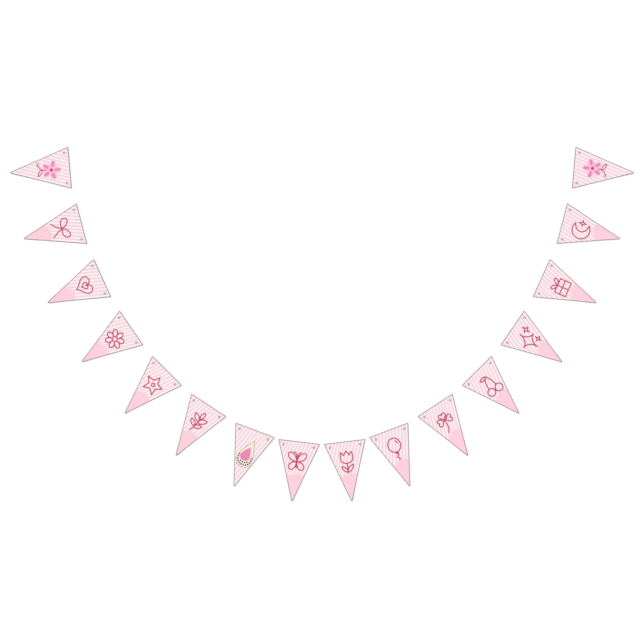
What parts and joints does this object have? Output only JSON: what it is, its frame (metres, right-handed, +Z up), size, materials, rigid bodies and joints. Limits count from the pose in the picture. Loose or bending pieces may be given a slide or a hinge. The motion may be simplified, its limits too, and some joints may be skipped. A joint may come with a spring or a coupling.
{
  "type": "fabric bunting",
  "caption": "Swag of loose printed triangular cloth pennants, each with a metal eyelet in both upper corners, laid flat with their tips outwards.",
  "frame": {"origin": "centre of the swag's outer box, on the surface that it lies on", "axes": "+X along the swag from its left end to its right end, +Y from the lowest pennants up to the swag's two ends, +Z up off the surface"},
  "size_m": [2.2318, 1.2682, 0.0052],
  "materials": {
    "printed_cotton": "woven, matt, printed",
    "overlock_thread": "spun thread, matt",
    "nickel_plate": "nickel plated, satin"
  },
  "bodies": {
    "root": {"pennant_01": "printed_cotton", "pennant_02": "printed_cotton", "pennant_03": "printed_cotton", "pennant_04": "printed_cotton", "pennant_05": "printed_cotton", "pennant_06": "printed_cotton", "pennant_07": "printed_cotton", "pennant_08": "printed_cotton", "pennant_09": "printed_cotton", "pennant_10": "printed_cotton", "pennant_11": "printed_cotton", "pennant_12": "printed_cotton", "pennant_13": "printed_cotton", "pennant_14": "printed_cotton", "pennant_15": "printed_cotton", "pennant_16": "printed_cotton", "eyelet_01_left": "nickel_plate", "eyelet_01_right": "nickel_plate", "eyelet_02_left": "nickel_plate", "eyelet_02_right": "nickel_plate", "eyelet_03_left": "nickel_plate", "eyelet_03_right": "nickel_plate", "eyelet_04_left": "nickel_plate", "eyelet_04_right": "nickel_plate", "eyelet_05_left": "nickel_plate", "eyelet_05_right": "nickel_plate", "eyelet_06_left": "nickel_plate", "eyelet_06_right": "nickel_plate", "eyelet_07_left": "nickel_plate", "eyelet_07_right": "nickel_plate", "eyelet_08_left": "nickel_plate", "eyelet_08_right": "nickel_plate", "eyelet_09_left": "nickel_plate", "eyelet_09_right": "nickel_plate", "eyelet_10_left": "nickel_plate", "eyelet_10_right": "nickel_plate", "eyelet_11_left": "nickel_plate", "eyelet_11_right": "nickel_plate", "eyelet_12_left": "nickel_plate", "eyelet_12_right": "nickel_plate", "eyelet_13_left": "nickel_plate", "eyelet_13_right": "nickel_plate", "eyelet_14_left": "nickel_plate", "eyelet_14_right": "nickel_plate", "eyelet_15_left": "nickel_plate", "eyelet_15_right": "nickel_plate", "eyelet_16_left": "nickel_plate", "eyelet_16_right": "nickel_plate"}
  },
  "joints": []
}
